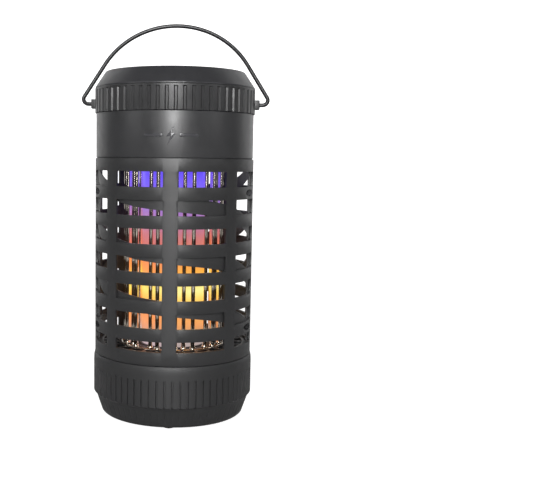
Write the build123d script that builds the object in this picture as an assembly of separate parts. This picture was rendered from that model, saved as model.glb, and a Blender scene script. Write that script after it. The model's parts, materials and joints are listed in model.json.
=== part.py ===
from build123d import *
import os
from math import acos, atan2, cos, degrees, hypot, radians, sin

# Lantern-shaped electric bug zapper: a knurled collection cup, a slotted cage with a swirl liner,
# a high-voltage grid of upright rods round a glowing tube, and a head with a folding bail handle.
# Millimetres. +Z is up, the front faces -Y, and the origin is on the standing plane at the axis.
# A bearing is an angle round the axis: 0 is the front, and it grows towards +X.

# --- driving dimensions -------------------------------------------------------------------------
CAGE_R = 60.0            # outside of the cage
CAGE_WALL = 1.8
CUP_R = 60.9             # outside of the knurled cup
HEAD_R = 59.4            # outside of the plain head band
RING_R = 60.3            # outside of the knurled ring under the cap

FOOT_H = 1.5
CUP_TOP = 47.3
CAGE_BOTTOM = 47.9
CAGE_TOP = 194.7
HEAD_BOTTOM = 195.4
RING_BOTTOM = 228.2
RING_TOP = 246.5
RING_EDGE = 0.5          # bevel of the ring's upper edge
CAP_TOP = 259.0

# cage windows
WINDOW_ROWS = 7
WINDOW_PITCH = 20.1
WINDOW_H = 10.9
LAST_WINDOW_H = 7.5
FIRST_WINDOW_TOP = 185.7
WINDOW_SPANS = [(5.0, 41.2), (51.3, 84.0)]   # bearings of the two windows on one side of a half

# swirl liner behind the windows
LINER_OUT = 58.0
LINER_IN = 56.4
BAND_H = 10.6
SIDE_POST_FROM = 83.0
FRONT_BANDS = (157.9, 120.6, 83.2)
REAR_BANDS = (157.6, 120.8, 84.6)
FRONT_SLOPE = 0.09       # mm of fall per degree at the middle of a half
REAR_SLOPE = 0.12
SLOPE_GROWTH = 3.1e-5    # the fall steepens with the cube of the bearing

# knurling
RING_KNURLS = 60
CUP_KNURLS = 68
KNURL_DEPTH = 0.9

# grid and light
ROD_R = 1.6
LIVE_R = 34.6
GROUND_R = 36.6
ROD_GROUPS = 5
RODS_PER_GROUP = 6
ROD_STEP = 10.4          # degrees between rods of a group
ROD_BOTTOM = 50.4
ROD_TOP = 191.0
TUBE_R = 24.0
TUBE_WALL = 1.8
TUBE_BOTTOM = 51.6
TUBE_TOP = 191.3
CORE_R = 10.0
HOLDER_TOP = 53.4        # top of the lower holder, just above the deck's well

# handle
WIRE_R = 1.5
PIVOT_Z = 235.5
BAIL_REACH = 63.0        # from the pivot line to the middle of the wire, so that it folds down past the ring
BAIL_HALF_WIDTH = 69.9   # from the axis to the middle of the wire at its widest
BAIL_BEND_R = 4.0
BAIL_LEAN = 15.0         # degrees back from upright
PIVOT_CLEARANCE = 0.07

# button
BUTTON_Z = 211.6
BUTTON_CORNER_R = 10.4   # centre to corner
BUTTON_GAP = 0.3
BUTTON_FACE_Y = 60.7
FRAME_CORNER_R = 12.3
FRAME_FACE_Y = 60.3

# cage screws run front to back through the sides
SCREW_X = 56.4
SCREW_ZS = (170.2, 69.7)
SCREW_HEAD_R = 2.3
SCREW_RECESS_R = 2.55
SCREW_BOSS_R = 3.1
SCREW_SHANK_R = 1.45

# deck over the cup
WELL_R = 41.6            # outside of the well that holds the lower holder
DECK_SPOKES = 28

# bayonet between the cage and the cup
LUG_COUNT = 3
LUG_SPAN = 20.0
TAB_SPAN = 24.0

CLEAR = 0.1


# --- helpers ------------------------------------------------------------------------------------
def tube(outer, inner, low, high):
    """A plain ring between two heights."""
    face = Circle(outer) - Circle(inner) if inner > 0 else Circle(outer)
    return Pos(0, 0, low) * extrude(face, high - low)


def disc(radius, low, high):
    return tube(radius, 0, low, high)


def turned(points):
    """A solid of revolution about Z from (radius, height) corners."""
    outline = Plane.XZ * make_face(Polyline([*points, points[0]]))
    return revolve(outline, Axis.Z, 360)


def sector(inner, outer, low, high, start, end):
    """A piece of a ring between two bearings."""
    face = Plane.XZ * Pos((inner + outer) / 2, (low + high) / 2) * Rectangle(outer - inner, high - low)
    return Rot(0, 0, start - 90) * revolve(face, Axis.Z, end - start)


def at_bearing(radius, bearing, height=0.0):
    return Pos(radius * sin(radians(bearing)), -radius * cos(radians(bearing)), height)


def facing(radius, bearing, height=0.0):
    """A place on a circle, turned so that its local X points outwards."""
    return Rot(0, 0, bearing - 90) * Pos(radius, 0, height)


def rod(x, y, radius, low, high):
    return Pos(x, y, low) * extrude(Circle(radius), high - low)


def along_y(x, z, radius, start, end):
    """A round bar that runs front to back."""
    return Pos(x, start, z) * (Rot(-90, 0, 0) * extrude(Circle(radius), end - start))


def along_x(y, z, radius, start, end):
    return Pos(start, y, z) * (Rot(0, 90, 0) * extrude(Circle(radius), end - start))


def block(x, y, z):
    """A box from three (low, high) pairs."""
    size = [b - a for a, b in (x, y, z)]
    return Pos(sum(x) / 2, sum(y) / 2, sum(z) / 2) * Box(*size)


def hex_bar(corner_r, start, end, z):
    """A hexagonal bar along +Y with a corner at the top."""
    flat = RegularPolygon(corner_r, 6, major_radius=True, rotation=90)
    return Pos(0, start, z) * (Rot(-90, 0, 0) * extrude(flat, end - start))


def half_turn(shape):
    return Rot(0, 0, 180) * shape


# --- cage ---------------------------------------------------------------------------------------
def window_rows():
    """(low, high) of each row of windows, from the top."""
    rows = []
    for row in range(WINDOW_ROWS):
        high = FIRST_WINDOW_TOP - row * WINDOW_PITCH
        tall = LAST_WINDOW_H if row == WINDOW_ROWS - 1 else WINDOW_H
        rows.append((high - tall, high))
    return rows


def window_cutters():
    cutters = []
    for low, high in window_rows():
        for start, end in WINDOW_SPANS:
            cutters.append(sector(CAGE_R - 5, CAGE_R + 3, low, high, start, end))
            cutters.append(sector(CAGE_R - 5, CAGE_R + 3, low, high, -end, -start))
    return cutters


def cage_half():
    """One half of the cage, in front of the axis, with a ledge that carries the deck."""
    inside = CAGE_R - CAGE_WALL
    shell = sector(inside, CAGE_R, CAGE_BOTTOM, CAGE_TOP, -90, 90)
    ledge = sector(56.6, inside + 0.5, 50.4, 52.3, -89, 89)
    return (shell + ledge) - window_cutters()


def screw_places():
    return [(side * SCREW_X, z) for side in (-1, 1) for z in SCREW_ZS]


def cage_front():
    shell = cage_half()
    inside_cage = sector(40, CAGE_R - 0.3, 40, CAGE_TOP, -90, 90)
    for x, z in screw_places():
        shell += along_y(x, z, SCREW_BOSS_R, -22, 0) & inside_cage
    for x, z in screw_places():
        shell -= along_y(x, z, SCREW_RECESS_R, -40, -11)
        shell -= along_y(x, z, SCREW_SHANK_R + CLEAR, -12, 1)
    return shell


def cage_rear():
    shell = half_turn(cage_half())
    inside_cage = half_turn(sector(40, CAGE_R - 0.3, 40, CAGE_TOP, -90, 90))
    for x, z in screw_places():
        shell += along_y(x, z, SCREW_BOSS_R, 0, 15) & inside_cage
    for x, z in screw_places():
        shell -= along_y(x, z, SCREW_SHANK_R, -1, 12)
    return shell


def cage_screws():
    screws = []
    for x, z in screw_places():
        head = along_y(x, z, SCREW_HEAD_R, -13, -11)
        cross = block((x - 1.4, x + 1.4), (-13.5, -12.2), (z - 0.3, z + 0.3))
        cross += block((x - 0.3, x + 0.3), (-13.5, -12.2), (z - 1.4, z + 1.4))
        screws.append((head + along_y(x, z, SCREW_SHANK_R, -11, 11.5)) - cross)
    return screws


def band_edge(start, slope, bearing):
    """Height of a band's lower edge at a bearing."""
    return start - slope * bearing - SLOPE_GROWTH * bearing**3


def swirl_liner(starts, slope):
    """Half a liner: rings at the top and bottom, side posts, and falling bands between them."""
    wall = sector(LINER_IN, LINER_OUT, 55.4, 188.3, -89.7, 89.7)
    parts = [
        sector(LINER_IN, LINER_OUT, 186.2, 188.3, -89.7, 89.7),
        sector(LINER_IN, LINER_OUT, 55.4, 57.2, -89.7, 89.7),
        sector(LINER_IN, LINER_OUT, 55.4, 188.3, SIDE_POST_FROM, 89.7),
        sector(LINER_IN, LINER_OUT, 55.4, 188.3, -89.7, -SIDE_POST_FROM),
    ]
    bearings = range(-84, 85, 12)
    for start in starts:
        lower = [(LINER_OUT * sin(radians(b)), band_edge(start, slope, b)) for b in bearings]
        upper = [(x, z + BAND_H) for x, z in lower]
        edges = [Spline(*lower), Line(lower[-1], upper[-1]), Spline(*upper), Line(upper[0], lower[0])]
        sheet = Plane.XZ * make_face(edges)
        parts.append(extrude(sheet, 70, dir=(0, -1, 0)) & wall)
    liner = parts[0]
    for part in parts[1:]:
        liner += part
    for x, z in screw_places():
        liner -= along_y(x, z, SCREW_BOSS_R + CLEAR, -40, 5)
    return liner


def swirl_liner_front():
    return swirl_liner(FRONT_BANDS, FRONT_SLOPE)


def swirl_liner_rear():
    return half_turn(swirl_liner(REAR_BANDS, REAR_SLOPE))


# --- grid, light tube and their holders ------------------------------------------------------------
def rod_bearings():
    """Bearings of all rods in order: groups of evenly spaced rods with a wider gap between groups."""
    middle = (RODS_PER_GROUP - 1) / 2
    return [
        group * 360 / ROD_GROUPS + (n - middle) * ROD_STEP
        for group in range(ROD_GROUPS)
        for n in range(RODS_PER_GROUP)
    ]


def rod_points(live):
    """(x, y) of the live rods or of the ground rods, which alternate."""
    radius = LIVE_R if live else GROUND_R
    chosen = rod_bearings()[0 if live else 1 :: 2]
    return [(radius * sin(radians(b)), -radius * cos(radians(b))) for b in chosen]


def live_rods():
    return [rod(x, y, ROD_R, ROD_BOTTOM, ROD_TOP) for x, y in rod_points(True)]


def ground_rods():
    return [rod(x, y, ROD_R, ROD_BOTTOM, ROD_TOP) for x, y in rod_points(False)]


def live_ring():
    """Wire ring that joins the live rods at the top, inside them."""
    return Pos(0, 0, 186.6) * Torus(LIVE_R - ROD_R - 0.8, 0.8)


def ground_ring():
    """Wire ring that joins the ground rods at the bottom, outside them."""
    return Pos(0, 0, HOLDER_TOP + 0.9) * Torus(GROUND_R + ROD_R + 0.8, 0.8)


def rod_sockets(low, high):
    return [rod(x, y, ROD_R + 0.02, low, high) for x, y in rod_points(True) + rod_points(False)]


def upper_grid_holder():
    """Insulating disc that closes the top of the cage and holds the rods and the tube."""
    body = disc(57.9, 188.5, CAGE_TOP) + disc(58.9, CAGE_TOP, HEAD_BOTTOM)
    body += tube(40.5, 31.0, 188.0, 188.5)
    body -= disc(20.5, 180, 200)
    body -= disc(22.0, 193.0, 200)
    body -= disc(TUBE_R + 0.15, 180, TUBE_TOP + 0.05)
    for x, y in grid_lead_points():
        body -= rod(x, y, 1.3, 180, 200)
    return body - rod_sockets(180, ROD_TOP + 0.05)


def lower_grid_holder():
    """Insulating seat for the rods, the tube and the light core."""
    body = disc(39.8, 49.6, HOLDER_TOP) + tube(26.2, TUBE_R, HOLDER_TOP, HOLDER_TOP + 0.5)
    body -= tube(TUBE_R + 0.15, TUBE_R - TUBE_WALL - 0.15, TUBE_BOTTOM - 0.05, 55)
    body += disc(CORE_R - 1.15, HOLDER_TOP, 60.0)
    return body - rod_sockets(ROD_BOTTOM - 0.05, 70)


def light_tube():
    return tube(TUBE_R, TUBE_R - TUBE_WALL, TUBE_BOTTOM, TUBE_TOP)


def light_core():
    """Rolled circuit that carries the flame lights inside the tube."""
    return tube(CORE_R, CORE_R - 1.0, HOLDER_TOP + CLEAR, 178.0)


def flame_leds():
    """Small square lamps in rows up the core."""
    lamps = []
    for row in range(9):
        for column in range(6):
            place = facing(CORE_R + 0.5, column * 60 + 30 * (row % 2), 72 + row * 9.5)
            lamps.append((place * Box(1.4, 2.8, 2.8)) - disc(CORE_R, 0, 200))
    return lamps


def uv_led_board():
    return disc(21.8, 193.0, 194.6)


def uv_leds():
    return [at_bearing(15, n * 45, 190.4) * extrude(Circle(2.4), 2.6) for n in range(8)]


# --- deck and cup ---------------------------------------------------------------------------------
def drop_grille():
    """Deck over the cup: a well for the lower holder, spokes with gaps, and a collar with bayonet lugs."""
    body = disc(WELL_R, 47.0, 49.5) + tube(WELL_R, WELL_R - 1.4, 49.5, 54.6)
    body += tube(57.9, 53.6, 52.4, 55.2)
    for n in range(DECK_SPOKES):
        body += facing(47.6, n * 360 / DECK_SPOKES, 53.3) * Box(13.2, 1.8, 2.6)
    body += tube(55.4, 53.6, 38.4, 52.4)
    for n in range(LUG_COUNT):
        middle = n * 360 / LUG_COUNT
        body += sector(55.0, 57.0, 39.2, 41.2, middle - LUG_SPAN / 2, middle + LUG_SPAN / 2)
        stop = middle + TAB_SPAN / 2 + 0.5
        body += sector(55.0, 57.0, 39.2, 43.6, stop, stop + 2)
    return body


def cup_grooves():
    cutters = []
    for n in range(CUP_KNURLS):
        bearing = (n + 0.5) * 360 / CUP_KNURLS
        cutters.append(facing(CUP_R, bearing, 27.0) * Box(2 * KNURL_DEPTH, 1.5, 20.0))
        cutters.append(facing(57.6, bearing, 9.9) * (Rot(0, 18.5, 0) * Box(1.2, 1.5, 7.5)))
    return cutters


def collection_cup():
    outside = [(0, FOOT_H), (53.6, FOOT_H), (54.6, 2.3), (59.4, 16.2), (60.9, 17.6), (60.9, 41.5)]
    inside = [(60.0, 46.8), (59.6, CUP_TOP), (58.0, CUP_TOP), (58.0, 18.6), (52.4, 4.0), (0, 4.0)]
    cup = turned(outside + inside) - cup_grooves()
    for n in range(LUG_COUNT):
        middle = n * 360 / LUG_COUNT
        cup += sector(55.8, 58.4, 41.6, 43.6, middle - TAB_SPAN / 2, middle + TAB_SPAN / 2)
    return cup


def cup_seal():
    """Flat gasket in the seam between the cup and the cage."""
    return tube(58.7, 57.0, CUP_TOP, CAGE_BOTTOM - CLEAR)


def feet():
    return [at_bearing(47.5, n * 60, 0) * extrude(Circle(4.0), FOOT_H) for n in range(6)]


# --- head ---------------------------------------------------------------------------------------
def bolt_emblem():
    """Outline of a lightning bolt between two bars, drawn on a plane, 14 mm tall."""
    points = [(2.6, 7.0), (-3.4, -1.0), (-0.4, -1.0), (-2.6, -7.0), (3.4, 1.4), (0.4, 1.4)]
    bolt = make_face(Polyline([*points, points[0]]))
    bars = [Pos(side * 12.5, 0) * Rectangle(13.0, 2.2) for side in (-1, 1)]
    return [bolt, *bars]


def head_housing():
    """Plain band of the head, with the raised emblem in front and the button frame behind."""
    body = tube(HEAD_R, 57.4, HEAD_BOTTOM, 228.0)
    skin = sector(HEAD_R - 0.3, HEAD_R + 0.45, 196, 227, -40, 40)
    for face in bolt_emblem():
        raised = Pos(0, -40, 211.0) * (Rot(90, 0, 0) * extrude(face, 30))
        body += raised & skin
    frame = hex_bar(FRAME_CORNER_R, 56.0, FRAME_FACE_Y, BUTTON_Z) - disc(57.4, 190, 230)
    body += frame
    for x, y in head_screw_points():
        body += rod(x, y, 3.6, 199.6, 216.0)
    for n in range(4):
        body += facing(56.2, 45 + n * 90, 207.8) * Box(3.4, 2.4, 16.4)
    for x, y in head_screw_points():
        body -= rod(x, y, 1.3, 195, 212.0)
    return body - hex_bar(BUTTON_CORNER_R + BUTTON_GAP, 50, 70, BUTTON_Z)


def power_button():
    """Hexagonal push button with a raised ring and mark."""
    body = hex_bar(BUTTON_CORNER_R, 54.2, BUTTON_FACE_Y - 0.6, BUTTON_Z)
    body += hex_bar(BUTTON_CORNER_R - 0.7, 59.0, BUTTON_FACE_Y - 0.3, BUTTON_Z)
    body += hex_bar(FRAME_CORNER_R, 53.0, 54.4, BUTTON_Z)
    mark = along_y(0, BUTTON_Z, 5.0, 60, BUTTON_FACE_Y) - along_y(0, BUTTON_Z, 3.8, 55, 65)
    mark -= block((-1.3, 1.3), (50, 70), (BUTTON_Z + 2, BUTTON_Z + 8))
    mark += block((-0.5, 0.5), (60, BUTTON_FACE_Y), (BUTTON_Z + 0.5, BUTTON_Z + 5.4))
    return body + mark


def switch_plunger():
    return along_y(0, BUTTON_Z, 1.6, 48.6, 53.0)


def tact_switch():
    body = block((-6, 6), (46.6, 50.4), (BUTTON_Z - 6, BUTTON_Z + 6))
    return body - along_y(0, BUTTON_Z, 1.7, 46.9, 60)


def switch_board():
    return block((-10, 10), (45.0, 46.6), (202.0, 219.4))


def head_screw_points():
    return [(x * 37.0, y * 37.0) for x in (-1, 1) for y in (-1, 1)]


def board_post_points():
    return [(x * 44.0, y * 16.0) for x in (-1, 1) for y in (-1, 1)]


def grid_lead_points():
    """Where the two grid leads rise: one from the live ring, one from the end of a ground rod."""
    bearing = radians(180 / RODS_PER_GROUP + 6)
    ring_r = LIVE_R - ROD_R - 0.8
    return [(ring_r * sin(bearing), -ring_r * cos(bearing)), rod_points(False)[0]]


def head_floor():
    """Plate that carries the head parts."""
    body = disc(57.2, HEAD_BOTTOM, 197.0)
    for x, y in board_post_points():
        body += rod(x, y, 3.0, 197.0, 219.5)
        body -= rod(x, y, 1.1, 205, 230)
    for x, y in head_screw_points():
        body += rod(x, y, 3.6, 197.0, 199.5)
        body -= rod(x, y, 1.7, 190, 200)
    for x, y in grid_lead_points():
        body -= rod(x, y, 1.3, 190, 200)
    return body - disc(6.0, 190, 200)


def head_screws():
    """Screws up through the floor; their heads sit in the holder's top."""
    return [
        rod(x, y, 1.29, 197.0, 211.5) + rod(x, y, 1.6, HEAD_BOTTOM, 197.0)
        for x, y in head_screw_points()
    ]


def battery_holder():
    tray = block((-37, 37), (-20.6, 20.6), (197.0, 209.0))
    tray -= block((-35.2, 35.2), (-19.2, 19.2), (198.2, 210.0))
    return tray


def battery_cells():
    return [along_x(y, 207.6, 9.2, -32.5, 32.5) for y in (-9.7, 9.7)]


def battery_contacts():
    plates = []
    for side in (-1, 1):
        for y in (-9.7, 9.7):
            plate = block(sorted((side * 34.0, side * 35.2)), (y - 5, y + 5), (200.0, 213.0))
            plates.append(plate + along_x(y, 207.6, 3.0, *sorted((side * 32.5, side * 34.0))))
    return plates


def control_board():
    body = disc(53.0, 219.5, 221.1)
    body -= block((-12, 12), (44.0, 60.0), (215, 225))
    for x, y in board_post_points():
        body -= rod(x, y, 1.3, 215, 225)
    for x, y in head_screw_points():
        body -= rod(x, y, 4.2, 215, 225)
    return body


def board_screws():
    screws = []
    for x, y in board_post_points():
        screws.append(rod(x, y, 1.05, 212, 221.1) + rod(x, y, 2.2, 221.1, 222.6))
    return screws


def hv_transformer():
    core = block((-11, 11), (-30, -14), (221.1, 234.0))
    return core - block((-7, 7), (-32, -28.5), (223, 232)) - block((-7, 7), (-15.5, -12), (223, 232))


def hv_capacitors():
    return [rod(x, 12.0, 4.0, 221.1, 233.0) for x in (-20, -10)] + [rod(18, 14, 6.0, 221.1, 236.0)]


def control_chips():
    places = [(28, -12, 5, 4), (-30, -12, 4, 6), (0, 26, 6, 4)]
    return [block((x - a, x + a), (y - b, y + b), (221.1, 223.0)) for x, y, a, b in places]


def grid_leads():
    """One lead to the live ring and one to the ground rods, up to the control board."""
    starts = [187.4, ROD_TOP + CLEAR]
    return [rod(x, y, 1.0, start, 219.5) for (x, y), start in zip(grid_lead_points(), starts)]


def panel_leads():
    return [rod(x, 0, 0.9, 221.1, 256.0) for x in (-4, 4)]


def core_leads():
    return [rod(x, 0, 0.8, 178.0, 192.9) for x in (-9.5, 9.5)]


def knurled_ring():
    """Ring round the top of the head, with a bored boss each side for the handle."""
    wall = [(57.7, RING_BOTTOM), (RING_R, RING_BOTTOM), (RING_R, RING_TOP - RING_EDGE)]
    body = turned(wall + [(RING_R - RING_EDGE, RING_TOP), (57.7, RING_TOP)])
    body += tube(59.0, 54.5, RING_BOTTOM, 230.0)
    cutters = [
        facing(RING_R, (n + 0.5) * 360 / RING_KNURLS, 237.1) * Box(2 * KNURL_DEPTH, 2.0, 15.4)
        for n in range(RING_KNURLS)
    ]
    body -= cutters
    for side in (-1, 1):
        boss = block(sorted((side * 58.6, side * 63.6)), (-3.5, 3.5), (PIVOT_Z - 3.5, PIVOT_Z + 3.5))
        body += boss
    return body - along_x(0, PIVOT_Z, WIRE_R + PIVOT_CLEARANCE, -70, 70)


def top_cap():
    """Sloping cap with a shallow well for the solar panel."""
    outside = [(60.1, 246.6), (59.9, 247.4), (52.9, 258.5), (52.0, CAP_TOP), (47.3, CAP_TOP), (47.3, 256.0)]
    inside = [(0, 256.0), (0, 253.6), (50.0, 253.6), (55.2, 247.6), (55.2, 241.0), (57.5, 241.0)]
    cap = turned(outside + inside + [(57.5, 246.6)])
    return cap - [rod(x, 0, 1.1, 250, 257) for x in (-4, 4)]


def panel_seal():
    return tube(47.2, 45.3, 256.0, 258.5)


def solar_panel():
    return disc(45.2, 256.0, 258.2)


# --- handle --------------------------------------------------------------------------------------
def bail_path():
    """Centre line of the upright bail: pivot pins, tight bends, straight flanks and one round arc."""
    bend_x = BAIL_HALF_WIDTH - BAIL_BEND_R
    # bearing above level of the flank's square-on line, from its tangency with the arc and the bend
    slant = degrees(atan2(BAIL_BEND_R, bend_x))
    slant += degrees(acos((BAIL_REACH - BAIL_BEND_R) / hypot(bend_x, BAIL_BEND_R)))

    def on_arc(angle):
        return (BAIL_REACH * cos(radians(angle)), BAIL_REACH * sin(radians(angle)))

    def on_bend(angle):
        reach = BAIL_BEND_R * cos(radians(angle))
        return (bend_x + reach, BAIL_BEND_R + BAIL_BEND_R * sin(radians(angle)))

    def mirrored(point):
        return (-point[0], point[1])

    right = [on_arc(slant), on_bend(slant), on_bend((slant - 90) / 2), on_bend(-90), (56.0, 0)]
    left = [mirrored(point) for point in right]
    edges = [
        Line(left[4], left[3]),
        ThreePointArc(left[3], left[2], left[1]),
        Line(left[1], left[0]),
        ThreePointArc(left[0], on_arc(90), right[0]),
        Line(right[0], right[1]),
        ThreePointArc(right[1], right[2], right[3]),
        Line(right[3], right[4]),
    ]
    return Pos(0, 0, PIVOT_Z) * (Plane.XZ * Wire(edges))


def handle():
    path = bail_path()
    section = Plane(origin=path @ 0, z_dir=path % 0) * Circle(WIRE_R)
    upright = sweep(section, path=path)
    return Pos(0, 0, PIVOT_Z) * (Rot(-BAIL_LEAN, 0, 0) * (Pos(0, 0, -PIVOT_Z) * upright))


def handle_retainers():
    """Push-on washers that keep the pins in the ring."""
    washers = []
    for side in (-1, 1):
        span = sorted((side * 56.2, side * 57.2))
        washers.append(along_x(0, PIVOT_Z, 3.6, *span) - along_x(0, PIVOT_Z, WIRE_R, *span))
    return washers


# --- export --------------------------------------------------------------------------------------
PIECES = [
    cage_front, cage_rear, cage_screws, swirl_liner_front, swirl_liner_rear,
    live_rods, ground_rods, live_ring, ground_ring, upper_grid_holder, lower_grid_holder,
    light_tube, light_core, flame_leds, uv_led_board, uv_leds,
    drop_grille, collection_cup, cup_seal, feet,
    head_housing, head_floor, head_screws, power_button, switch_plunger, tact_switch, switch_board,
    battery_holder, battery_cells, battery_contacts, control_board, board_screws,
    hv_transformer, hv_capacitors, control_chips, grid_leads, panel_leads, core_leads,
    knurled_ring, top_cap, panel_seal, solar_panel, handle, handle_retainers,
]


def main():
    os.makedirs("parts", exist_ok=True)
    for make in PIECES:
        made = make()
        solids = made if isinstance(made, list) else [made]
        whole = Compound([solid for item in solids for solid in item.solids()])
        export_step(whole, f"parts/{make.__name__}.step")


main()
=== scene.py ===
# %% [markdown]
# # A lantern-shaped bug zapper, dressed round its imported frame
# The real product is a lamp that kills insects. A slotted cage keeps fingers away from a ring of upright
# high-voltage rods, a glowing tube in the middle draws insects in, and a cup below collects what falls.
#
# The CAD model already says where everything is, what moves, and how large it is. This lesson never moves a
# CAD part. It builds finer skins over the parts that show, gives every part a finish, and sets a small
# white studio round them.

# %% Load the frame
import bpy
import bmesh
import json
from math import acos, atan2, ceil, cos, degrees, hypot, pi, radians, sin
from mathutils import Matrix, Vector


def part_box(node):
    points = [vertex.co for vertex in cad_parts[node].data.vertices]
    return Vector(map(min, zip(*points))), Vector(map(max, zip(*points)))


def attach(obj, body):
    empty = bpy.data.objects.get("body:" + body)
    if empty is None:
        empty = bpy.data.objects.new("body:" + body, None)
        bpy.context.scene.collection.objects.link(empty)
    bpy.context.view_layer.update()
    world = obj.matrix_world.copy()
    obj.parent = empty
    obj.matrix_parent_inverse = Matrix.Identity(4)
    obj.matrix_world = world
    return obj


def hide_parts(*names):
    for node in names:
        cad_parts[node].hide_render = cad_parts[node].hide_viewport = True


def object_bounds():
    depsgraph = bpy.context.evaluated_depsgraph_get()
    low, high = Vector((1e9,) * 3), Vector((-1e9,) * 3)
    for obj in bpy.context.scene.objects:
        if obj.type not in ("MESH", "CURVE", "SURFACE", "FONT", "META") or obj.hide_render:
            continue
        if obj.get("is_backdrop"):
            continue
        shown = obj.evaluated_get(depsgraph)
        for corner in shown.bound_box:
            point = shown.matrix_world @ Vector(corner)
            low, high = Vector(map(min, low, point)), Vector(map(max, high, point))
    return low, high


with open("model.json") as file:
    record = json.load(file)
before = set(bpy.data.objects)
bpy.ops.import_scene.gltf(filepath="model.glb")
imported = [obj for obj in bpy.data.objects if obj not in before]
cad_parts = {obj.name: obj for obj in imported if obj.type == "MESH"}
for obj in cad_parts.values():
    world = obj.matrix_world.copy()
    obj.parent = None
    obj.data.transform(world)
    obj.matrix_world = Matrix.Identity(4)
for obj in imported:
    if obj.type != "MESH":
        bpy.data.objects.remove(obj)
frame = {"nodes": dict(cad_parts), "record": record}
cad_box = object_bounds()
print("CAD box in metres:", [[round(c, 4) for c in corner] for corner in cad_box])

# %% [markdown]
# ## Working in millimetres and bearings
# Blender works in metres, but a product drawing is in millimetres, so every size below is in millimetres and
# one helper turns it into a Blender point. The body is round, so a place is easiest to say as a radius, a
# bearing and a height. Bearing 0 is the front, at -Y, and bearings grow towards +X.

# %% Millimetres, bearings and boxes
MM = 0.001


def at(radius, bearing, height):
    """A point in metres from a radius, a bearing and a height in millimetres."""
    angle = radians(bearing)
    return Vector((radius * sin(angle), -radius * cos(angle), height)) * MM


def box_mm(node):
    low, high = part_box(node)
    return [c / MM for c in low], [c / MM for c in high]


def top_of(node):
    return box_mm(node)[1][2]


def bottom_of(node):
    return box_mm(node)[0][2]


def radius_of(node):
    """Half of a round node's depth, which no handle or boss widens."""
    low, high = box_mm(node)
    return (high[1] - low[1]) / 2


CAGE_R = -box_mm("cage_front")[0][1]
CAGE_BOTTOM = bottom_of("cage_front")
CAGE_TOP = top_of("cage_front")
print("cage radius", round(CAGE_R, 2), "from", round(CAGE_BOTTOM, 2), "to", round(CAGE_TOP, 2))

# %% [markdown]
# ## From faces to a finished piece
# Each skin starts as a list of points and faces. One function makes the object, turns all faces outwards,
# smooths what is meant to be round and keeps real corners sharp. It then says which CAD nodes the skin stands
# for, and which body it rides on, so that it moves with the handle, the cup or the button.

# %% Making a piece
SMOOTH_BELOW = 32    # degrees: a fold gentler than this is shaded round


def finish_mesh(mesh):
    work = bmesh.new()
    work.from_mesh(mesh)
    bmesh.ops.remove_doubles(work, verts=work.verts, dist=0.002 * MM)
    bmesh.ops.recalc_face_normals(work, faces=work.faces)
    work.to_mesh(mesh)
    work.free()
    mesh.shade_smooth()
    mesh.set_sharp_from_angle(angle=radians(SMOOTH_BELOW))


def make_piece(name, points, faces):
    mesh = bpy.data.meshes.new(name)
    mesh.from_pydata([tuple(p) for p in points], [], faces)
    finish_mesh(mesh)
    piece = bpy.data.objects.new(name, mesh)
    bpy.context.scene.collection.objects.link(piece)
    return piece


def stands_for(piece, *nodes):
    """The skin takes over from these CAD nodes, with their body."""
    body = next(b for b, members in frame["record"]["behaviour"]["bodies"].items() if nodes[0] in members)
    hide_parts(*nodes)
    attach(piece, body)
    print(f"{piece.name}: {len(piece.data.polygons)} faces, rides on {body}")
    return piece


def bake_modifiers(piece):
    """Swaps the piece's mesh for what its modifiers make of it."""
    graph = bpy.context.evaluated_depsgraph_get()
    piece.data = bpy.data.meshes.new_from_object(piece.evaluated_get(graph))
    piece.modifiers.clear()
    finish_mesh(piece.data)


def soften_edges(piece, width, segments=2, fold=50):
    """Rounds every edge that folds more sharply than this: moulded plastic has no knife edges."""
    bevel = piece.modifiers.new("soft edges", "BEVEL")
    bevel.width = width * MM
    bevel.segments = segments
    bevel.limit_method = "ANGLE"
    bevel.angle_limit = radians(fold)
    bevel.use_clamp_overlap = True
    bake_modifiers(piece)


def combine(piece, other, how):
    """Joins the other solid to the piece, or cuts it out, and removes the other solid."""
    boolean = piece.modifiers.new(how, "BOOLEAN")
    boolean.operation = how
    boolean.solver = "EXACT"
    boolean.object = other
    bake_modifiers(piece)
    bpy.data.objects.remove(other)


# %% [markdown]
# Bars, blocks, wires and pads are all rings of points in a row, joined by faces and closed at both ends.

# %% Swept solids
def swept(rings):
    """Points and faces of a closed solid through rings that have equally many points."""
    count = len(rings[0])
    last = (len(rings) - 1) * count
    faces = []
    for base in range(0, last, count):
        for k in range(count):
            after = (k + 1) % count
            faces.append((base + k, base + after, base + count + after, base + count + k))
    caps = [tuple(range(count)), tuple(range(last + count - 1, last - 1, -1))]
    return [point for ring in rings for point in ring], faces + caps


def several(blocks):
    """One list of points and one of faces from several solids."""
    points, faces = [], []
    for block_points, block_faces in blocks:
        faces += [tuple(k + len(points) for k in face) for face in block_faces]
        points += block_points
    return points, faces


# %% [markdown]
# ## Turned skins
# The cap, the ring, the band, the cup and the tube are all round. Each is one outline of (radius, height)
# corners swept round the axis, like a piece on a lathe. A corner may carry a third number, its fillet, and
# the outline is rounded there with a small arc, because light catches on those fillets.

# %% Outlines with fillets
FILLET_STEPS = 4


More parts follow.
